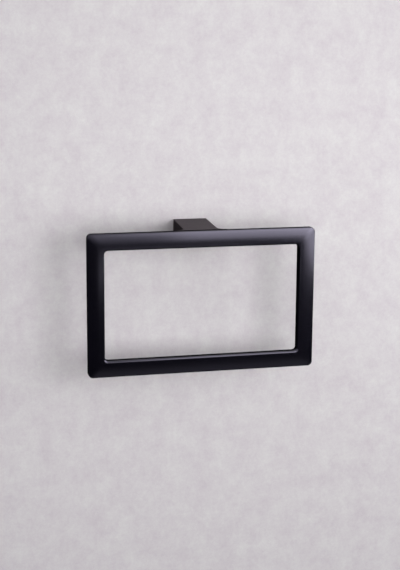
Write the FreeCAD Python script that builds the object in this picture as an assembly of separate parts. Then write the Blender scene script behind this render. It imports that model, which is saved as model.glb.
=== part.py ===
import FreeCAD, Part
import math
import os
from FreeCAD import Vector

# Rectangular towel ring on one hollow arm, all sizes in millimetres.
# X runs along the ring's width, +Y points into the wall, Z is up.
# The origin is the middle of the arm's end on the wall plane, so the ring is at negative Y.

# Ring: one casting with a flat back and a pillowed face
ring_width = 250.0
ring_height = 155.0
bar_width = 18.0
ring_thickness = 9.0
face_fall = 1.7
crown_land = 1.0
inner_edge_radius = 2.2
outer_edge_radius = 1.0
back_edge_chamfer = 0.5
outer_corner_radius = 5.0
inner_corner_radius = 4.0
face_contours = 6

# Arm: hollow casting, taller at the wall than at the ring, with a flared foot
arm_length = 55.0
arm_width = 37.4
arm_wall_height = 25.8
arm_wall = 2.8
arm_front_wall = 4.0
flare_radius = 9.0
foot_edge = 0.8
arm_edge_radius = 0.8
hollow_corner_radius = 1.5

# Machine screws that hold the ring to the arm
ring_screw_diameter = 5.0
ring_screw_head_diameter = 9.5
ring_screw_head_height = 2.75
ring_screw_side_gap = 2.15
ring_screw_key = 3.0
ring_screw_key_depth = 1.6
ring_screw_clearance = 0.2
tapped_hole_floor = 2.5
tapped_hole_spare = 1.0

# Wall bracket: a folded steel channel inside the wall end of the arm
bracket_thickness = 2.0
bracket_depth = 12.0
bracket_clearance = 0.3
bracket_bend_radius = 1.0
bracket_corner_radius = 2.0

# Wall screws through the bracket
wall_screw_side_gap = 3.1
wall_screw_neck_diameter = 3.4
wall_screw_thread_diameter = 4.2
wall_screw_length = 35.0
wall_screw_point = 4.5
wall_screw_tip_diameter = 1.0
wall_screw_head_diameter = 8.0
wall_screw_head_height = 2.6
wall_screw_hole_clearance = 0.3
recess_width = 4.4
recess_slot = 1.1
recess_depth = 1.7

# Set screw in the underside of the arm
grub_diameter = 4.0
grub_from_wall = 6.5
grub_recess = 0.3
grub_key = 2.0
grub_key_depth = 2.0
grub_tip_radius = 0.4
grub_seat_radius = 1.6

# Derived places
ring_back_y = -arm_length
ring_middle_z = (bar_width - ring_height) / 2
arm_slope = (arm_wall_height - bar_width) / 2 / arm_length
hollow_width = arm_width - 2 * arm_wall
bracket_width = hollow_width - 2 * bracket_clearance
ring_screw_spacing = hollow_width - ring_screw_head_diameter - 2 * ring_screw_side_gap
ring_screw_reach = ring_thickness - tapped_hole_floor - tapped_hole_spare
wall_screw_spacing = bracket_width - wall_screw_head_diameter - 2 * wall_screw_side_gap


def rounded_rectangle(width, height, radius, y, middle_z):
    """Closed wire in the plane at y: four straight sides and four tangent quarter circles."""
    right = width / 2
    top = height / 2
    turn = radius * (1 - math.sqrt(0.5))

    def at(x, z):
        return Vector(x, y, middle_z + z)

    corners = (
        (at(right, top - radius), at(right - turn, top - turn), at(right - radius, top)),
        (at(radius - right, top), at(turn - right, top - turn), at(-right, top - radius)),
        (at(-right, radius - top), at(turn - right, turn - top), at(radius - right, -top)),
        (at(right - radius, -top), at(right - turn, turn - top), at(right, radius - top)),
    )
    edges = []
    for number, (start, middle, end) in enumerate(corners):
        edges.append(Part.Arc(start, middle, end).toShape())
        edges.append(Part.LineSegment(end, corners[(number + 1) % 4][0]).toShape())
    return Part.Wire(edges)


def contour(inset, height):
    """The ring's outline, drawn in from its outer edge by inset, at a height above its back."""
    along = inset / bar_width
    radius = outer_corner_radius + (inner_corner_radius - outer_corner_radius) * along
    width = ring_width - 2 * inset
    tall = ring_height - 2 * inset
    return rounded_rectangle(width, tall, radius, ring_back_y - height, ring_middle_z)


def edges_at(shape, y, near, far):
    """Edges of the ring that lie at one y, with every end between two distances inside its outline."""
    found = []
    for edge in shape.Edges:
        box = edge.BoundBox
        if abs(box.YMin - y) > 0.01 or abs(box.YMax - y) > 0.01:
            continue
        insets = []
        for vertex in edge.Vertexes:
            across = ring_width / 2 - abs(vertex.Point.x)
            up = ring_height / 2 - abs(vertex.Point.z - ring_middle_z)
            insets.append(min(across, up))
        if min(insets) >= near and max(insets) <= far:
            found.append(edge)
    return found


def make_ring():
    """Outer wall, pillowed face, opening and rounded edges, with two tapped holes in the back.

    From a narrow land beside the opening the face falls as a parabola to the outer edge, so it
    turns away faster and faster. Each contour is a rounded rectangle of its own size, and the
    face is the smooth surface through them, which carries the section round the tight corners.
    """
    crown_inset = bar_width - inner_edge_radius - crown_land
    edge_height = ring_thickness - face_fall
    base = Part.Face(contour(0, 0)).extrude(Vector(0, -edge_height, 0))
    wires = []
    for step in range(face_contours):
        share = 1 - step / (face_contours - 1)
        wires.append(contour(crown_inset * (1 - share), ring_thickness - face_fall * share**2))
    face = Part.makeLoft(wires, True, False)
    opening = Part.Face(contour(bar_width, -1)).extrude(Vector(0, -ring_thickness - 2, 0))
    ring = base.fuse(face).cut(opening).removeSplitter()
    half = bar_width / 2
    crown_y = ring_back_y - ring_thickness
    inner_front = edges_at(ring, crown_y, bar_width - 0.1, bar_width + inner_corner_radius)
    ring = ring.makeFillet(inner_edge_radius, inner_front)
    outer_front = edges_at(ring, ring_back_y - edge_height, -0.1, half)
    ring = ring.makeFillet(outer_edge_radius, outer_front)
    back = edges_at(ring, ring_back_y, -0.1, ring_height / 2)
    ring = ring.makeChamfer(back_edge_chamfer, back)
    depth = ring_screw_reach + tapped_hole_spare
    for side in (-1, 1):
        mouth = Vector(side * ring_screw_spacing / 2, ring_back_y, 0)
        hole = Part.makeCylinder(ring_screw_diameter / 2, depth, mouth, Vector(0, -1, 0))
        ring = ring.cut(hole)
    return ring


def half_height(from_wall):
    """Half the arm's outside height at a distance from the wall."""
    return arm_wall_height / 2 - arm_slope * from_wall


def side_band(inset, near, far, reach):
    """Solid between the arm's sloping top and bottom, drawn in by inset, from near to far."""
    lean = math.sqrt(1 + arm_slope**2)
    near_z = half_height(near) - inset * lean
    far_z = half_height(far) - inset * lean
    outline = Part.makePolygon([
        Vector(-reach, -near, -near_z),
        Vector(-reach, -near, near_z),
        Vector(-reach, -far, far_z),
        Vector(-reach, -far, -far_z),
        Vector(-reach, -near, -near_z),
    ])
    return Part.Face(outline).extrude(Vector(2 * reach, 0, 0))


def arm_plan(low, high):
    """Solid of the arm's plan: parallel sides that sweep out in quarter circles to a wide foot."""
    side = arm_width / 2
    foot = side + flare_radius
    land_y = foot_edge - arm_length
    start_y = land_y + flare_radius
    turn = flare_radius * math.sqrt(0.5)
    right = Part.Arc(
        Vector(side, start_y, low),
        Vector(foot - turn, start_y - turn, low),
        Vector(foot, land_y, low),
    )
    left = Part.Arc(
        Vector(-foot, land_y, low),
        Vector(turn - foot, start_y - turn, low),
        Vector(-side, start_y, low),
    )
    rim = Part.makePolygon([Vector(-side, start_y, low), Vector(-side, 0, low),
                            Vector(side, 0, low), Vector(side, start_y, low)])
    sole = Part.makePolygon([Vector(foot, land_y, low), Vector(foot, -arm_length, low),
                             Vector(-foot, -arm_length, low), Vector(-foot, land_y, low)])
    edges = rim.Edges + [right.toShape()] + sole.Edges + [left.toShape()]
    return Part.Face(Part.Wire(edges)).extrude(Vector(0, 0, high - low))


def make_arm():
    """Plan and side profile crossed, long edges eased, hollow from the wall, screw holes."""
    reach = arm_width / 2 + flare_radius + 1
    tall = arm_wall_height / 2 + 1
    arm = arm_plan(-tall, tall).common(side_band(0, 0, arm_length, reach))
    long_edges = []
    for edge in arm.Edges:
        box = edge.BoundBox
        flat = box.ZMin < -bar_width / 4 and box.ZMax > bar_width / 4
        along = box.YLength > 2 * foot_edge
        if along and not flat:
            long_edges.append(edge)
    arm = arm.makeFillet(arm_edge_radius, long_edges)

    depth = arm_length - arm_front_wall
    box = Part.makeBox(hollow_width, depth + 1, 2 * tall, Vector(-hollow_width / 2, -depth, -tall))
    uprights = []
    for edge in box.Edges:
        if edge.BoundBox.ZLength > tall and abs(edge.BoundBox.YMin + depth) < 0.01:
            uprights.append(edge)
    plan = box.makeFillet(hollow_corner_radius, uprights)
    hollow = plan.common(side_band(arm_wall, -1, depth, reach))
    arm = arm.cut(hollow)

    clear = ring_screw_diameter / 2 + ring_screw_clearance
    for side in (-1, 1):
        start = Vector(side * ring_screw_spacing / 2, -depth + 1, 0)
        arm = arm.cut(Part.makeCylinder(clear, arm_front_wall + 2, start, Vector(0, -1, 0)))
    start = Vector(0, -grub_from_wall, -tall)
    return arm.cut(Part.makeCylinder(grub_diameter / 2, tall, start))


def hexagon(across_flats, depth, start, direction):
    """Six-sided key socket, sunk along direction from start."""
    radius = across_flats / math.sqrt(3)
    points = []
    for corner in range(7):
        turn = math.radians(60 * corner)
        points.append(Vector(radius * math.cos(turn), radius * math.sin(turn), 0))
    prism = Part.Face(Part.makePolygon(points)).extrude(Vector(0, 0, depth))
    prism.Placement = FreeCAD.Placement(start, FreeCAD.Rotation(Vector(0, 0, 1), direction))
    return prism


def turned(corners, x):
    """Solid turned about the line along Y at x, from the (radius, y) corners of half its section."""
    points = [Vector(radius, y, 0) for radius, y in corners]
    half_section = Part.Face(Part.makePolygon(points + [points[0]]))
    solid = half_section.revolve(Vector(0, 0, 0), Vector(0, 1, 0), 360)
    solid.translate(Vector(x, 0, 0))
    return solid


def make_ring_screws():
    """Two button-head screws, heads inside the arm, threads in the ring."""
    seat_y = arm_front_wall - arm_length
    top_y = seat_y + ring_screw_head_height
    end_y = ring_back_y - ring_screw_reach
    shank = ring_screw_diameter / 2
    head = ring_screw_head_diameter / 2
    crown = head * 0.65
    chamfer = ring_screw_diameter / 10
    rim_y = seat_y + ring_screw_head_height / 3
    screws = []
    for side in (-1, 1):
        x = side * ring_screw_spacing / 2
        screw = turned([
            (0, top_y),
            (crown, top_y),
            (head, rim_y),
            (head, seat_y),
            (shank, seat_y),
            (shank, end_y + chamfer),
            (shank - chamfer, end_y),
            (0, end_y),
        ], x)
        key = hexagon(ring_screw_key, ring_screw_key_depth, Vector(x, top_y, 0), Vector(0, -1, 0))
        screws.append(screw.cut(key))
    return Part.makeCompound(screws)


def bracket_height():
    """The channel's height: it clears the arm's sloping hollow at the ends of its flanges."""
    lean = math.sqrt(1 + arm_slope**2)
    return 2 * (half_height(bracket_depth) - arm_wall * lean - bracket_clearance)


def make_wall_bracket():
    """Folded channel: web on the wall with two screw holes, flanges with a seat for the set screw."""
    top = bracket_height() / 2
    inner = top - bracket_thickness
    bend = bracket_bend_radius
    outside = bend + bracket_thickness
    small = bend * (1 - math.sqrt(0.5))
    large = outside * (1 - math.sqrt(0.5))
    web = -bracket_thickness
    x = -bracket_width / 2

    def at(y, z):
        return Vector(x, y, z)

    edges = [
        Part.LineSegment(at(-bracket_depth, top), at(-outside, top)),
        Part.Arc(at(-outside, top), at(-large, top - large), at(0, top - outside)),
        Part.LineSegment(at(0, top - outside), at(0, outside - top)),
        Part.Arc(at(0, outside - top), at(-large, large - top), at(-outside, -top)),
        Part.LineSegment(at(-outside, -top), at(-bracket_depth, -top)),
        Part.LineSegment(at(-bracket_depth, -top), at(-bracket_depth, -inner)),
        Part.LineSegment(at(-bracket_depth, -inner), at(web - bend, -inner)),
        Part.Arc(at(web - bend, -inner), at(web - small, small - inner), at(web, bend - inner)),
        Part.LineSegment(at(web, bend - inner), at(web, inner - bend)),
        Part.Arc(at(web, inner - bend), at(web - small, inner - small), at(web - bend, inner)),
        Part.LineSegment(at(web - bend, inner), at(-bracket_depth, inner)),
        Part.LineSegment(at(-bracket_depth, inner), at(-bracket_depth, top)),
    ]
    profile = Part.Wire([edge.toShape() for edge in edges])
    bracket = Part.Face(profile).extrude(Vector(bracket_width, 0, 0))
    corners = []
    for edge in bracket.Edges:
        box = edge.BoundBox
        upright = abs(box.ZLength - bracket_thickness) < 0.01
        at_tip = abs(box.YMin + bracket_depth) < 0.01 and box.YLength < 0.01
        if upright and at_tip and box.XLength < 0.01:
            corners.append(edge)
    bracket = bracket.makeFillet(bracket_corner_radius, corners)
    radius = wall_screw_thread_diameter / 2 + wall_screw_hole_clearance
    for side in (-1, 1):
        start = Vector(side * wall_screw_spacing / 2, 1, 0)
        hole = Part.makeCylinder(radius, bracket_thickness + 2, start, Vector(0, -1, 0))
        bracket = bracket.cut(hole)
    seat = Part.makeCylinder(grub_seat_radius, 2 * top + 2, Vector(0, -grub_from_wall, -top - 1))
    return bracket.cut(seat)


def cross_recess(start):
    """Cross-shaped driver recess, narrowing as it goes in along +Y from start."""
    wires = []
    for depth, share in ((0, 1.0), (recess_depth, 0.55)):
        arm = recess_width / 2 * share
        slot = recess_slot / 2 * share
        corners = [(arm, slot), (slot, slot), (slot, arm), (-slot, arm), (-slot, slot), (-arm, slot),
                   (-arm, -slot), (-slot, -slot), (-slot, -arm), (slot, -arm), (slot, -slot), (arm, -slot)]
        points = [start + Vector(x, depth, z) for x, z in corners]
        wires.append(Part.makePolygon(points + [points[0]]))
    return Part.makeLoft(wires, True, True)


def make_wall_screws():
    """Two pan-head screws: heads on the bracket, plain necks in its holes, threads in the wall."""
    seat_y = -bracket_thickness
    top_y = seat_y - wall_screw_head_height
    tip_y = seat_y + wall_screw_length
    neck = wall_screw_neck_diameter / 2
    thread = wall_screw_thread_diameter / 2
    head = wall_screw_head_diameter / 2
    crown = head * 0.7
    tip = wall_screw_tip_diameter / 2
    rim_y = top_y + wall_screw_head_height / 2
    screws = []
    for side in (-1, 1):
        x = side * wall_screw_spacing / 2
        screw = turned([
            (0, top_y),
            (crown, top_y),
            (head, rim_y),
            (head, seat_y),
            (neck, seat_y),
            (neck, 0),
            (thread, 0),
            (thread, tip_y - wall_screw_point),
            (tip, tip_y),
            (0, tip_y),
        ], x)
        screws.append(screw.cut(cross_recess(Vector(x, top_y, 0))))
    return Part.makeCompound(screws)


def make_grub_screw():
    """Set screw up through the arm's underside, its cone seated in the bracket's flange."""
    radius = grub_diameter / 2
    flange_z = -bracket_height() / 2
    cone_z = flange_z - (radius - grub_seat_radius)
    tip_z = cone_z + radius - grub_tip_radius
    low_z = -half_height(grub_from_wall) + grub_recess
    body = Part.makeCylinder(radius, cone_z - low_z, Vector(0, -grub_from_wall, low_z))
    cone = Part.makeCone(radius, grub_tip_radius, tip_z - cone_z, Vector(0, -grub_from_wall, cone_z))
    key = hexagon(grub_key, grub_key_depth, Vector(0, -grub_from_wall, low_z), Vector(0, 0, 1))
    return body.fuse(cone).removeSplitter().cut(key)


parts = {
    "ring": make_ring(),
    "arm": make_arm(),
    "ring_screws": make_ring_screws(),
    "wall_bracket": make_wall_bracket(),
    "wall_screws": make_wall_screws(),
    "grub_screw": make_grub_screw(),
}
os.makedirs("parts", exist_ok=True)
for name, shape in parts.items():
    shape.exportStep("parts/" + name + ".step")
    print(name, len(shape.Solids), round(shape.Volume, 1), shape.isValid())
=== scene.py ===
import math

import bpy
import numpy as np
from mathutils import Matrix, Vector


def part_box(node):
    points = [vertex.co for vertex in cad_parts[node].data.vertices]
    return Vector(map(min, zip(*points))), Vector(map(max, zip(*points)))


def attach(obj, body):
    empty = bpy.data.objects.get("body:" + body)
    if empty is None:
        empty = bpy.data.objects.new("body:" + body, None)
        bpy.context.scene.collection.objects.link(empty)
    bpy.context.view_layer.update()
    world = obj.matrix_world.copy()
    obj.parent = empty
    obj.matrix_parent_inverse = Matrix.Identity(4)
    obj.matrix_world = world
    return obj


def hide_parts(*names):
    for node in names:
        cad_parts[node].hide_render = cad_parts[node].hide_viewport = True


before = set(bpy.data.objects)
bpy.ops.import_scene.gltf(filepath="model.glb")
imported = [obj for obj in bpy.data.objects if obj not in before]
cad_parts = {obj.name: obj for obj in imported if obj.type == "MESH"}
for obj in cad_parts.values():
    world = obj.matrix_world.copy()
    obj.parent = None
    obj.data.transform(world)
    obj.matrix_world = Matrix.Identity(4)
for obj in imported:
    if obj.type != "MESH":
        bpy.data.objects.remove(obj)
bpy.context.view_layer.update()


# Ring: the rectangular frame that the towel hangs through. It is one zinc die casting, sanded
# on its pillowed face and powder coated satin black. Two screws from inside the arm hold its
# back to the arm's foot.

MM = 0.001
ring_low, ring_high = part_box("ring")
ring_width = ring_high[0] - ring_low[0]
ring_height = ring_high[2] - ring_low[2]
ring_thickness = ring_high[1] - ring_low[1]
ring_back_y = ring_high[1]
ring_middle_z = (ring_low[2] + ring_high[2]) / 2
bar_width = 2 * ring_high[2]
outer_corner_radius = 5.0 * MM
inner_corner_radius = 4.0 * MM
face_fall = 1.7 * MM
crown_land = 1.0 * MM
inner_edge_radius = 2.2 * MM
outer_edge_radius = 1.0 * MM
back_edge_chamfer = 0.5 * MM
edge_strip = 0.3 * MM


def arc(centre, radius, start, end, steps):
    """Points of an arc: the centre plus the radius times (cosine, sine) of evenly spaced angles."""
    turn = np.linspace(start, end, steps)
    return np.stack([centre[0] + radius * np.cos(turn), centre[1] + radius * np.sin(turn)], 1)


def bar_section():
    """The bar's closed section as rows of (inset from the outer edge, height above the back).

    The face is a parabola: the crown's height less face_fall times the square of the way from
    the crown to the outer edge. A circle tangent to the outer wall and to the parabola's end
    slope rounds the outer edge. A flat land leads from the crown to the quarter circle that
    rounds the edge of the opening. A narrow strip below each rounding keeps the shading of the
    walls even, and the back edges have small chamfers.
    """
    face_steps = 40
    crown = bar_width - inner_edge_radius - crown_land
    lean = math.atan(2 * face_fall / crown)
    tangent = outer_edge_radius * math.tan((math.pi / 2 - lean) / 2)
    centre = (outer_edge_radius, ring_thickness - face_fall - tangent)
    outer_arc = arc(centre, outer_edge_radius, math.pi, math.pi / 2 + lean, steps=10)
    inset = np.linspace(outer_arc[-1, 0], crown, face_steps)[1:]
    face = np.stack([inset, ring_thickness - face_fall * (1 - inset / crown) ** 2], 1)
    flank = ring_thickness - inner_edge_radius
    inner_centre = (bar_width - inner_edge_radius, flank)
    inner_arc = arc(inner_centre, inner_edge_radius, math.pi / 2, 0, steps=16)
    corners = [
        (bar_width, flank - edge_strip), (bar_width, back_edge_chamfer),
        (bar_width - back_edge_chamfer, 0), (bar_width / 2, 0), (back_edge_chamfer, 0),
        (0, back_edge_chamfer), (0, outer_arc[0, 1] - edge_strip),
    ]
    return np.concatenate([outer_arc, face, inner_arc, np.array(corners)])


def carried_round(section):
    """The section carried round the frame, as points[step along the frame, point of the section].

    Every point of the section runs round a rounded rectangle of its own: half the frame's size
    less the point's inset, with a corner radius that blends from the outer one to the inner one.
    A corner's step is its centre plus the radius times (cosine, sine) of the step's angle, and
    the sides join the corners by straight blends of their centres.
    """
    signs = np.array([(1, 1), (-1, 1), (-1, -1), (1, -1)], float)
    corner_steps = 24
    side_steps = 30
    centres = []
    angles = []
    for quarter in range(4):
        sweep = np.linspace(0, math.pi / 2, corner_steps) + quarter * math.pi / 2
        blend = np.linspace(0, 1, side_steps + 2)[1:-1, None]
        after = signs[(quarter + 1) % 4]
        centres += [np.tile(signs[quarter], (corner_steps, 1)),
                    signs[quarter] * (1 - blend) + after * blend]
        angles += [sweep, np.full(side_steps, sweep[-1])]
    centres = np.concatenate(centres)
    angles = np.concatenate(angles)[:, None]
    inset, height = section.T
    radius = outer_corner_radius + (inner_corner_radius - outer_corner_radius) * inset / bar_width
    x = centres[:, :1] * (ring_width / 2 - inset - radius) + radius * np.cos(angles)
    z = centres[:, 1:] * (ring_height / 2 - inset - radius) + radius * np.sin(angles)
    y = np.broadcast_to(ring_back_y - height, x.shape)
    return np.stack([x, y, z + ring_middle_z], -1)


def skin(name, points, capped):
    """A closed mesh over a grid of points: quads between neighbours, round in both directions.

    A capped grid is open from its last row to its first, and a fan of triangles to the middle
    of each of those rows closes it.
    """
    rows, columns = points.shape[:2]
    row, column = np.meshgrid(np.arange(rows - capped), np.arange(columns), indexing="ij")
    below = (row + 1) % rows
    beside = (column + 1) % columns
    quads = np.stack([row * columns + column, row * columns + beside,
                      below * columns + beside, below * columns + column], -1).reshape(-1, 4)
    places = points.reshape(-1, 3)
    faces = quads.tolist()
    if capped:
        places = np.concatenate([places, points[:1].mean(1), points[-1:].mean(1)])
        rim = np.arange(columns)
        onward = (rim + 1) % columns
        last = (rows - 1) * columns
        middle = rows * columns
        faces += np.stack([onward, rim, np.full(columns, middle)], 1).tolist()
        faces += np.stack([last + rim, last + onward, np.full(columns, middle + 1)], 1).tolist()
    mesh = bpy.data.meshes.new(name)
    mesh.from_pydata(places.tolist(), [], faces)
    mesh.validate()
    piece = bpy.data.objects.new(name, mesh)
    bpy.context.scene.collection.objects.link(piece)
    return piece


def smooth(piece, degrees):
    """Smooth shading that stays sharp where two faces meet at more than this angle."""
    piece.data.shade_smooth()
    piece.data.set_sharp_from_angle(angle=math.radians(degrees))


def rod(name, start, end, radius):
    """A plain closed cylinder between two points, with flat ends.

    Its ends are circles of points: the radius times (cosine, sine) of evenly spaced angles, in
    two directions across the line. The first of them is at right angles to the line and to a
    slanted direction that no hole's line shares.
    """
    steps = 40
    slanted = (0.6, 0.64, 0.48)
    line = np.subtract(end, start)
    along = line / np.linalg.norm(line)
    across = np.cross(along, slanted)
    across /= np.linalg.norm(across)
    other = np.cross(along, across)
    turn = np.linspace(0, 2 * math.pi, steps, endpoint=False)[:, None]
    circle = radius * (np.cos(turn) * across + np.sin(turn) * other)
    return skin(name, np.stack([np.add(start, circle), np.add(end, circle)]), True)


def take_out(piece, cutter):
    """Cuts the closed cutter out of a piece and deletes the cutter."""
    bore = piece.modifiers.new("bore", "BOOLEAN")
    bore.operation = "DIFFERENCE"
    bore.solver = "EXACT"
    bore.object = cutter
    graph = bpy.context.evaluated_depsgraph_get()
    piece.data = bpy.data.meshes.new_from_object(piece.evaluated_get(graph))
    piece.modifiers.clear()
    bpy.data.objects.remove(cutter)


def new_material(name):
    """An empty node material with its shader, output and the object's own coordinates."""
    material = bpy.data.materials.new(name)
    material.use_nodes = True
    nodes = material.node_tree.nodes
    nodes.clear()
    shader = nodes.new("ShaderNodeBsdfPrincipled")
    output = nodes.new("ShaderNodeOutputMaterial")
    place = nodes.new("ShaderNodeTexCoord")
    material.node_tree.links.new(shader.outputs[0], output.inputs["Surface"])
    return material, nodes, material.node_tree.links, shader, place.outputs["Object"]


def noise(nodes, links, place, scale, detail, harsh=0.5):
    """A noise texture on the object's coordinates; scale counts its grains along one metre."""
    texture = nodes.new("ShaderNodeTexNoise")
    texture.inputs["Scale"].default_value = scale
    texture.inputs["Detail"].default_value = detail
    texture.inputs["Roughness"].default_value = harsh
    links.new(place, texture.inputs["Vector"])
    return texture.outputs[0]


def spread(nodes, links, source, low, high):
    """Stretches the middle of a noise, from 0.3 to 0.7, over a range from low to high."""
    ramp = nodes.new("ShaderNodeMapRange")
    ramp.inputs["From Min"].default_value = 0.3
    ramp.inputs["From Max"].default_value = 0.7
    ramp.inputs["To Min"].default_value = low
    ramp.inputs["To Max"].default_value = high
    links.new(source, ramp.inputs["Value"])
    return ramp.outputs[0]


def drifting_tone(nodes, links, shader, drift, dark, light):
    """Lets the base colour drift between a dark and a light tone, as far as a noise says."""
    tone = nodes.new("ShaderNodeMix")
    tone.data_type = "RGBA"
    tone.inputs["A"].default_value = dark
    tone.inputs["B"].default_value = light
    links.new(spread(nodes, links, drift, 0, 1), tone.inputs["Factor"])
    links.new(tone.outputs["Result"], shader.inputs["Base Color"])


def bump(nodes, links, height, strength):
    """A bump that follows a noise, a hundredth of a millimetre high at full strength."""
    relief = nodes.new("ShaderNodeBump")
    relief.inputs["Strength"].default_value = strength
    relief.inputs["Distance"].default_value = 0.01 * MM
    links.new(height, relief.inputs["Height"])
    return relief


def black_coat(name, dark, light, tint, roughness, shine):
    """Satin black powder coat: a fine orange-peel grain, with slow drifts of gloss and of tone."""
    material, nodes, links, shader, place = new_material(name)
    drift = noise(nodes, links, place, scale=70, detail=3)
    drifting_tone(nodes, links, shader, drift, dark, light)
    gloss = noise(nodes, links, place, scale=240, detail=4)
    satin = spread(nodes, links, gloss, roughness - 0.01, roughness + 0.015)
    links.new(satin, shader.inputs["Roughness"])
    peel = noise(nodes, links, place, scale=1500, detail=2)
    slow = noise(nodes, links, place, scale=160, detail=1)
    grain = bump(nodes, links, peel, strength=0.08)
    swell = bump(nodes, links, slow, strength=0.1)
    links.new(swell.outputs[0], grain.inputs["Normal"])
    links.new(grain.outputs[0], shader.inputs["Normal"])
    shader.inputs["Specular Tint"].default_value = tint
    shader.inputs["Specular IOR Level"].default_value = shine
    return material


ring = skin("ring_casting", carried_round(bar_section()), False)
screw_low, screw_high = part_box("ring_screws")
ring_screw_radius = 2.5 * MM
ring_screw_head_radius = 4.75 * MM
hole_spare_depth = 1.0 * MM
cutter_overshoot = 1.0 * MM
ring_screw_x = screw_high[0] - ring_screw_head_radius
hole_end_y = screw_low[1] - hole_spare_depth
for side in (-1, 1):
    x = side * ring_screw_x
    hole_end = (x, hole_end_y, 0)
    hole_mouth = (x, ring_back_y + cutter_overshoot, 0)
    take_out(ring, rod("tapped_hole", hole_end, hole_mouth, ring_screw_radius))
smooth(ring, degrees=28)
ring_coat = black_coat("satin_black_ring", dark=(0.0008, 0.0007, 0.0022, 1),
                       light=(0.0014, 0.0012, 0.0032, 1), tint=(0.83, 0.78, 1.0, 1),
                       roughness=0.20, shine=1.0)
ring.data.materials.append(ring_coat)
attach(ring, "root")
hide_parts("ring")


# Arm: the hollow casting that carries the ring off the wall. Its plan has parallel sides that
# sweep out into the foot, its height grows towards the wall, and its sharp wall end slides over
# the bracket. It has the same black powder coat as the ring, but its base colour is painted
# lighter, warmer and duller than the ring's: a painted sheen for the light its top catches.

arm_low, arm_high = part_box("arm")
arm_length = arm_high[1] - arm_low[1]
wall_half_height = arm_high[2]
ring_half_height = bar_width / 2
flare_radius = 9.0 * MM
arm_half_width = arm_high[0] - flare_radius
foot_edge = 0.8 * MM
arm_edge_radius = 0.6 * MM
arm_wall = 2.8 * MM
arm_front_wall = 4.0 * MM
hollow_corner_radius = 1.5 * MM
arm_slope = (wall_half_height - ring_half_height) / arm_length


def half_height(y):
    """Half the arm's outside height: it shrinks evenly with the distance from the wall."""
    return wall_half_height + arm_slope * y


def arm_plan():
    """The right half of the arm's plan, from foot to wall: rows of x, y and the outward normal.

    The foot's short edge is followed by a quarter circle that is tangent to the side, and the
    side runs straight to the wall.
    """
    flare_steps = 26
    side_steps = 14
    land_y = foot_edge - arm_length
    bend = np.linspace(math.pi / 2, 0, flare_steps)
    flare = np.stack([
        arm_half_width + flare_radius - flare_radius * np.cos(bend),
        land_y + flare_radius - flare_radius * np.sin(bend),
        np.cos(bend), np.sin(bend)], 1)
    foot_x = arm_half_width + flare_radius
    foot = np.array([(foot_x, -arm_length, 1, 0), (foot_x, land_y, 1, 0)])
    side_y = np.linspace(flare[-1, 1], 0, side_steps)[1:]
    ones = np.ones_like(side_y)
    side = np.stack([arm_half_width * ones, side_y, ones, 0 * ones], 1)
    return np.concatenate([foot, flare, side])


def outer_rows():
    """Loops round the arm's outside, one for each point of its plan.

    Each corner of a loop is a quarter circle: at its angle the plan is drawn in along its normal
    by the radius times one less the cosine, and the height by the radius times one less the sine.
    The flats between the corners have points at set shares of their half width. The outermost
    lie close to the corners, so that the flats keep their even shading.
    """
    edge_steps = 8
    top_share = np.array([0.985, 0.66, 0.33, 0.0])
    side_share = np.array([0.97, 0.5, 0.0, -0.5, -0.97])
    x, y, normal_x, normal_y = arm_plan().T[:, :, None]
    turn = np.linspace(0, math.pi / 2, edge_steps)
    drawn_in = arm_edge_radius * (1 - np.cos(turn))
    dropped = arm_edge_radius * (1 - np.sin(turn))
    edge_x = x - normal_x * drawn_in
    edge_y = np.maximum(y - normal_y * drawn_in, -arm_length)
    edge_z = half_height(edge_y) - dropped
    top_x = edge_x[:, -1:] * top_share
    top_y = np.broadcast_to(edge_y[:, -1:], top_x.shape)
    half_x = np.concatenate([edge_x, top_x], 1)
    half_y = np.concatenate([edge_y, top_y], 1)
    half_z = np.concatenate([edge_z, half_height(top_y)], 1)
    side_z = edge_z[:, :1] * side_share
    side_x = np.broadcast_to(edge_x[:, :1], side_z.shape)
    side_y = np.broadcast_to(edge_y[:, :1], side_z.shape)
    up = np.stack([half_x, half_y, half_z], -1)
    side = np.stack([side_x, side_y, side_z], -1)
    down = up * (1, 1, -1)
    right = np.concatenate([up[:, ::-1], side, down], 1)
    left = (right * (-1, 1, 1))[:, -2:0:-1]
    return np.concatenate([right, left], 1)


def hollow_rows(count):
    """Loops round the hollow from the wall inwards: rectangles with as many points as the outside.

    The width is even up to the quarter circles that round the hollow's end. The height is the
    outside's, less the wall's thickness measured square to its slope.
    """
    straight_steps = 7
    bend_steps = 7
    side_steps = 7
    lean = math.sqrt(1 + arm_slope ** 2)
    half_width = arm_half_width - arm_wall
    bend = np.linspace(0, math.pi / 2, bend_steps)
    end_y = arm_front_wall - arm_length
    straight = np.linspace(0, end_y + hollow_corner_radius, straight_steps + 1)[:-1]
    depth = np.concatenate([straight, end_y + hollow_corner_radius * (1 - np.sin(bend))])
    width = np.concatenate([np.full(straight_steps, half_width),
                            half_width - hollow_corner_radius * (1 - np.cos(bend))])
    height = half_height(depth) - arm_wall * lean
    top = (count // 2 + 1 - side_steps) // 2
    right_x = np.concatenate([np.linspace(0, 1, top), np.ones(side_steps), np.linspace(1, 0, top)])
    down = np.linspace(1, -1, side_steps + 2)[1:-1]
    right_z = np.concatenate([np.ones(top), down, -np.ones(top)])
    loop_x = np.concatenate([right_x, -right_x[-2:0:-1]])
    loop_z = np.concatenate([right_z, right_z[-2:0:-1]])
    x = width[:, None] * loop_x
    z = height[:, None] * loop_z
    y = np.broadcast_to(depth[:, None], x.shape)
    return np.stack([x, y, z], -1)


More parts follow.
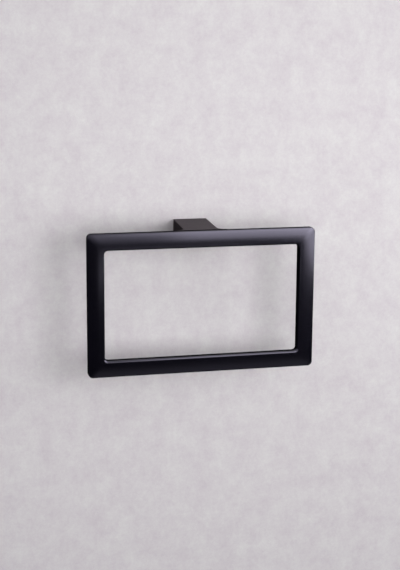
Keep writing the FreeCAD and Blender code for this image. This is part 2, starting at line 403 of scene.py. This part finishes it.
outside = outer_rows()
inside = hollow_rows(outside.shape[1])
arm = skin("arm_casting", np.concatenate([outside, inside]), True)
grub_low, grub_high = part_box("grub_screw")
grub_radius = (grub_high[0] - grub_low[0]) / 2
grub_y = (grub_low[1] + grub_high[1]) / 2
below_arm = (0, grub_y, -2 * wall_half_height)
in_hollow = (0, grub_y, -wall_half_height / 2)
take_out(arm, rod("grub_hole", below_arm, in_hollow, grub_radius))
screw_clearance = 0.2 * MM
for side in (-1, 1):
    x = side * ring_screw_x
    hole_front = (x, ring_back_y - cutter_overshoot, 0)
    hole_back = (x, ring_back_y + arm_front_wall + 2 * cutter_overshoot, 0)
    take_out(arm, rod("screw_hole", hole_front, hole_back, ring_screw_radius + screw_clearance))
smooth(arm, degrees=28)
# Painted sheen: the arm's base colour is set lighter and warmer than the ring's coat, though both are
# one coat.
arm_coat_painted_sheen = black_coat("satin_black_arm_painted_sheen", dark=(0.061, 0.049, 0.055, 1),
                      light=(0.070, 0.057, 0.063, 1), tint=(1.0, 0.9, 0.95, 1),
                      roughness=0.45, shine=0.25)
arm.data.materials.append(arm_coat_painted_sheen)
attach(arm, "root")
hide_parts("arm")


# Wall bracket: a short channel folded from 2 mm steel and zinc plated, screwed to the wall
# inside the arm. It keeps the model's own shape, and only its plating is made here.

def plated_steel(name, dark, light, roughness, streak):
    """Zinc plate or bare steel: a drifting tone, with fine lines in its gloss and its relief.

    The lines are a noise on the object's coordinates times streak, so a small share along one
    axis draws them out that way.
    """
    material, nodes, links, shader, place = new_material(name)
    stretch = nodes.new("ShaderNodeMapping")
    stretch.inputs["Scale"].default_value = streak
    links.new(place, stretch.inputs["Vector"])
    lines = noise(nodes, links, stretch.outputs[0], scale=900, detail=3)
    drift = noise(nodes, links, place, scale=220, detail=4)
    drifting_tone(nodes, links, shader, drift, dark, light)
    lined = spread(nodes, links, lines, roughness - 0.06, roughness + 0.1)
    links.new(lined, shader.inputs["Roughness"])
    grain = bump(nodes, links, lines, strength=0.3)
    links.new(grain.outputs[0], shader.inputs["Normal"])
    shader.inputs["Metallic"].default_value = 1.0
    return material


def finish_node(node, material):
    """Gives one of the model's own pieces its material."""
    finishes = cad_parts[node].data.materials
    finishes.clear()
    finishes.append(material)


bracket_plate = plated_steel("zinc_plated_bracket", dark=(0.42, 0.43, 0.46, 1),
                             light=(0.56, 0.57, 0.58, 1), roughness=0.36, streak=(0.05, 1, 1))
finish_node("wall_bracket", bracket_plate)


# Ring screws and set screw: stainless button-head machine screws that pull the ring onto the
# arm's foot, and the set screw that pins the arm to the bracket. They keep the model's own shape.

stainless = plated_steel("stainless_screws", dark=(0.38, 0.38, 0.38, 1),
                         light=(0.5, 0.5, 0.49, 1), roughness=0.3, streak=(1, 0.1, 1))
finish_node("ring_screws", stainless)
finish_node("grub_screw", stainless)


# Wall screws: two hardened pan-head screws with a coarse rolled thread. Their heads press the
# bracket to the wall, and their threads stand out behind it, as deep as they sit in the wall.

wall_screw_low, wall_screw_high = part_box("wall_screws")
head_radius = wall_screw_high[2]
wall_screw_x = wall_screw_high[0] - head_radius
tip_y = wall_screw_high[1]
head_top_y = wall_screw_low[1]
seat_y = -2.0 * MM
thread_radius = 2.1 * MM
root_radius = 1.45 * MM
neck_radius = 1.7 * MM
tip_radius = 0.25 * MM
head_rounding = 1.3 * MM
head_flat_radius = 0.45 * head_radius
head_middle_radius = 0.3 * MM
edge_break = 0.05 * MM
neck_fillet = 0.1 * MM
thread_pitch = 1.8 * MM
thread_run_in = 0.8 * thread_pitch
point_length = 4.5 * MM
thread_run_out = 0.625 * point_length
recess_reach = 2.2 * MM
recess_half_slot = 0.55 * MM
recess_depth = 1.7 * MM


def wall_screw(x):
    """One screw as circles of points about its line, each moved in or out by the thread.

    The thread's crest at a point is one less three times its distance, in pitches, from the
    nearest turn, and never below nothing. It adds that share of the thread's depth to the
    root's radius. It rises over the run-in behind the neck and fades over the run-out.
    """
    around = 48
    thread_steps = 248
    flat = [(head_middle_radius, head_top_y), (head_flat_radius, head_top_y)]
    dome_centre = (head_radius - head_rounding, head_top_y + head_rounding)
    dome = arc(dome_centre, head_rounding, -math.pi / 2, 0, steps=8)
    seat = [(head_radius, seat_y - edge_break), (head_radius - edge_break, seat_y),
            (neck_radius + neck_fillet, seat_y), (neck_radius, seat_y + neck_fillet),
            (neck_radius, -edge_break)]
    head = np.concatenate([flat, dome, seat])
    along = np.linspace(0, tip_y, thread_steps)
    taper = np.clip((tip_y - along) / point_length, 0, 1)
    root = tip_radius + (root_radius - tip_radius) * taper
    turn = np.linspace(0, 2 * math.pi, around, endpoint=False)
    phase = along[:, None] / thread_pitch - turn / (2 * math.pi)
    crest = np.clip(1 - 3 * np.abs(phase - np.round(phase)), 0, 1)
    fade = np.clip(along / thread_run_in, 0, 1) * np.clip((tip_y - along) / thread_run_out, 0, 1)
    threaded = root[:, None] + (thread_radius - root_radius) * crest * fade[:, None]
    radius = np.concatenate([np.repeat(head[:, :1], around, 1), threaded])
    place = np.concatenate([head[:, 1], along])
    return np.stack([x + radius * np.cos(turn),
                     np.repeat(place[:, None], around, 1),
                     radius * np.sin(turn)], -1)


def cross_cutter(name, x):
    """A cross-shaped driver bit: a twelve-cornered outline that narrows evenly as it goes in.

    It is 1.1 times the outline a little above the head, and half of it at the recess's bottom.
    """
    above_head = 0.5 * MM
    long = recess_reach
    short = recess_half_slot
    outline = np.array([(long, short), (short, short), (short, long), (-short, long),
                        (-short, short), (-long, short), (-long, -short), (-short, -short),
                        (-short, -long), (short, -long), (short, -short), (long, -short)])
    rows = []
    for depth, share in ((-above_head, 1.1), (recess_depth, 0.5)):
        y = np.full(len(outline), head_top_y + depth)
        rows.append(np.stack([x + outline[:, 0] * share, y, outline[:, 1] * share], -1))
    return skin(name, np.stack(rows), True)


hardened = plated_steel("zinc_plated_screws", dark=(0.4, 0.4, 0.42, 1),
                        light=(0.54, 0.54, 0.55, 1), roughness=0.32, streak=(1, 1, 1))
for name, x in (("wall_screw_left", -wall_screw_x), ("wall_screw_right", wall_screw_x)):
    screw = skin(name, wall_screw(x), True)
    take_out(screw, cross_cutter("driver", x))
    smooth(screw, degrees=40)
    screw.data.materials.append(hardened)
    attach(screw, "root")
    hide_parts("wall_screws")


# Wall, floor and backdrop: a pale, slightly mottled plaster wall a hair behind the mounting
# plane, seen only from its front, a plain pale floor well below, and a plain backdrop round
# both. The black coat doesn't mirror them.

def flat_panel(name, corners, material):
    """One flat stage surface through four corners, which isn't mirrored and throws no light back."""
    mesh = bpy.data.meshes.new(name)
    mesh.from_pydata(corners, [], [(0, 1, 2, 3)])
    mesh.materials.append(material)
    panel = bpy.data.objects.new(name, mesh)
    bpy.context.scene.collection.objects.link(panel)
    panel.visible_glossy = False
    panel.visible_diffuse = False
    return panel


floor_z = -0.75
wall_y = 0.0004
wall_left = -0.30
wall_right = 0.28
wall_top = 0.42
room_reach = 4.0
room_top = 3.0
room_corners = [(-room_reach, -room_reach), (room_reach, -room_reach),
                (room_reach, room_reach), (-room_reach, room_reach)]
pale_grey = (0.66, 0.635, 0.65, 1)

plaster, nodes, links, shader, place = new_material("pale_plaster")
mottle = noise(nodes, links, place, scale=35, detail=8, harsh=0.85)
drifting_tone(nodes, links, shader, mottle, dark=(0.597, 0.544, 0.587, 1),
              light=(0.743, 0.731, 0.728, 1))
shader.inputs["Roughness"].default_value = 0.9
shader.inputs["Specular IOR Level"].default_value = 0.1
facing = nodes.new("ShaderNodeNewGeometry")
clear = nodes.new("ShaderNodeBsdfTransparent")
choice = nodes.new("ShaderNodeMixShader")
links.new(facing.outputs["Backfacing"], choice.inputs[0])
links.new(shader.outputs[0], choice.inputs[1])
links.new(clear.outputs[0], choice.inputs[2])
links.new(choice.outputs[0], nodes["Material Output"].inputs["Surface"])
flat_panel("wall", [(wall_left, wall_y, floor_z), (wall_right, wall_y, floor_z),
                    (wall_right, wall_y, wall_top), (wall_left, wall_y, wall_top)], plaster)

pale_floor, _, _, shader, _ = new_material("pale_floor")
shader.inputs["Base Color"].default_value = pale_grey
shader.inputs["Roughness"].default_value = 0.8
flat_panel("floor", [(*corner, floor_z) for corner in room_corners], pale_floor)

pale_backdrop, _, _, shader, _ = new_material("pale_backdrop")
shader.inputs["Base Color"].default_value = (0, 0, 0, 1)
shader.inputs["Specular IOR Level"].default_value = 0.0
shader.inputs["Emission Color"].default_value = pale_grey
shader.inputs["Emission Strength"].default_value = 1.0
for number, (near, far) in enumerate(zip(room_corners, room_corners[1:] + room_corners[:1])):
    sheet = flat_panel("backdrop_%d" % number, [(*far, floor_z), (*near, floor_z),
                                                (*near, room_top), (*far, room_top)], pale_backdrop)
    sheet.visible_shadow = False


# Light: a wide soft dome overhead with three small soft patches low down, four lamps that only
# the coat's gleam shows, and four that the coat doesn't mirror, which light the wall and the
# object and throw the soft shadows.

def towards(azimuth, elevation):
    """Unit vector to a place seen from the object: azimuth 0 is in front of it, 90 on its right."""
    turn = math.radians(azimuth)
    rise = math.radians(elevation)
    return Vector((math.sin(turn) * math.cos(rise), -math.cos(turn) * math.cos(rise), math.sin(rise)))


def glow(nodes, links, direction, axis, edge, softness, strength):
    """A round soft patch of the surround, brightest about its axis.

    Its strength follows the cosine of the angle from the axis: it rises smoothly from nothing
    at the edge less the softness to its full value at the edge plus the softness.
    """
    dot = nodes.new("ShaderNodeVectorMath")
    dot.operation = "DOT_PRODUCT"
    dot.inputs[1].default_value = axis
    links.new(direction, dot.inputs[0])
    fall = nodes.new("ShaderNodeMapRange")
    fall.interpolation_type = "SMOOTHSTEP"
    fall.inputs["From Min"].default_value = edge - softness
    fall.inputs["From Max"].default_value = edge + softness
    fall.inputs["To Max"].default_value = strength
    links.new(dot.outputs["Value"], fall.inputs["Value"])
    patch = nodes.new("ShaderNodeBackground")
    patch.inputs["Color"].default_value = (0.98, 0.975, 1.0, 1)
    links.new(fall.outputs[0], patch.inputs["Strength"])
    return patch


world = bpy.data.worlds.new("studio")
bpy.context.scene.world = world
world.use_nodes = True
nodes = world.node_tree.nodes
links = world.node_tree.links
nodes.clear()
output = nodes.new("ShaderNodeOutputWorld")
direction = nodes.new("ShaderNodeTexCoord").outputs["Generated"]
surround = nodes.new("ShaderNodeBackground")
surround.inputs["Strength"].default_value = 0.005
for azimuth, elevation, edge, softness, strength in (
        (11, 76, 0.25, 0.15, 0.74),
        (28, -47, 0.97, 0.15, 0.45),
        (-45, -35, 0.95, 0.05, 0.5),
        (132, -18, 0.95, 0.04, 0.5)):
    patch = glow(nodes, links, direction, towards(azimuth, elevation), edge, softness, strength)
    added = nodes.new("ShaderNodeAddShader")
    links.new(surround.outputs[0], added.inputs[0])
    links.new(patch.outputs[0], added.inputs[1])
    surround = added
links.new(surround.outputs[0], output.inputs["Surface"])


def soft_lamp(name, place, facing, width, height, radiance):
    """A rectangular lamp that shines along facing: its power is radiance times pi times area."""
    lamp = bpy.data.lights.new(name, "AREA")
    lamp.shape = "RECTANGLE"
    lamp.size = width
    lamp.size_y = height
    lamp.energy = radiance * math.pi * width * height
    holder = bpy.data.objects.new(name, lamp)
    bpy.context.scene.collection.objects.link(holder)
    turn = facing.to_track_quat("-Z", "Y").to_matrix().to_4x4()
    holder.matrix_world = Matrix.Translation(place) @ turn
    holder.visible_camera = False
    return holder


to_wall = Vector((0, 1, 0))
to_left = Vector((-1, 0, 0))
downwards = Vector((0, 0, -1))
for name, place, facing, width, height, radiance in (
        ("front_lamp", (0.204, -0.423, 0.087), to_wall, 0.302, 0.167, 1.66),
        ("side_lamp", (0.360, -0.426, 0.057), to_left, 0.529, 0.309, 3.16),
        ("top_lamp", (0.246, -0.463, 0.166), downwards, 0.476, 0.851, 1.34),
        ("low_lamp", (0.044, -0.466, -0.110), to_wall, 0.255, 0.040, 0.76)):
    lamp = soft_lamp(name, Vector(place), facing, width, height, radiance)
    lamp.visible_diffuse = False
wall_lamp_place = Vector((0.308, -0.856, -0.018))
wall_lamp_target = Vector((-0.298, 0, 0.216))
wall_lamp = soft_lamp("wall_lamp", wall_lamp_place, wall_lamp_target - wall_lamp_place,
                      width=0.533, height=0.468, radiance=0.755)
wall_lamp.data.spread = math.radians(90)
wall_lamp.visible_glossy = False
for name, place, width, height, radiance in (
        ("key_lamp", 1.2 * towards(26.5, 8.5), 0.667, 0.415, 3.88),
        ("right_lamp", 1.5 * towards(66, 4), 0.9, 0.9, 3.57),
        ("camera_side_lamp", 1.5 * towards(-8, -3), 0.5, 0.5, 4.62)):
    lamp = soft_lamp(name, place, -place, width, height, radiance)
    lamp.visible_glossy = False


# Camera: at the left and a little above, looking down on the ring, with a long lens. Its place,
# turns and focal length were worked out from the straight edges of the ring and the arm. The
# focal length and the picture's height are in pixels, and the sensor is in millimetres.

focal_pixels = 1299.0
picture_height = 570.0
sensor = 36.0
yaw = math.radians(14.10)
pitch = math.radians(11.49)
roll = math.radians(0.38)
camera_place = Vector((-0.3355, -1.3842, 0.2275))
forward = Vector((math.sin(yaw) * math.cos(pitch), math.cos(yaw) * math.cos(pitch), -math.sin(pitch)))
level = Vector((math.cos(yaw), -math.sin(yaw), 0))
upright = level.cross(forward)
right = math.cos(roll) * level + math.sin(roll) * upright
above = math.cos(roll) * upright - math.sin(roll) * level
lens = bpy.data.cameras.new("camera")
lens.sensor_width = sensor
lens.lens = focal_pixels * sensor / picture_height
camera = bpy.data.objects.new("camera", lens)
bpy.context.scene.collection.objects.link(camera)
camera_turn = Matrix((right, above, -forward)).transposed().to_4x4()
camera.matrix_world = Matrix.Translation(camera_place) @ camera_turn
bpy.context.scene.camera = camera
bpy.context.scene.view_settings.view_transform = "Standard"
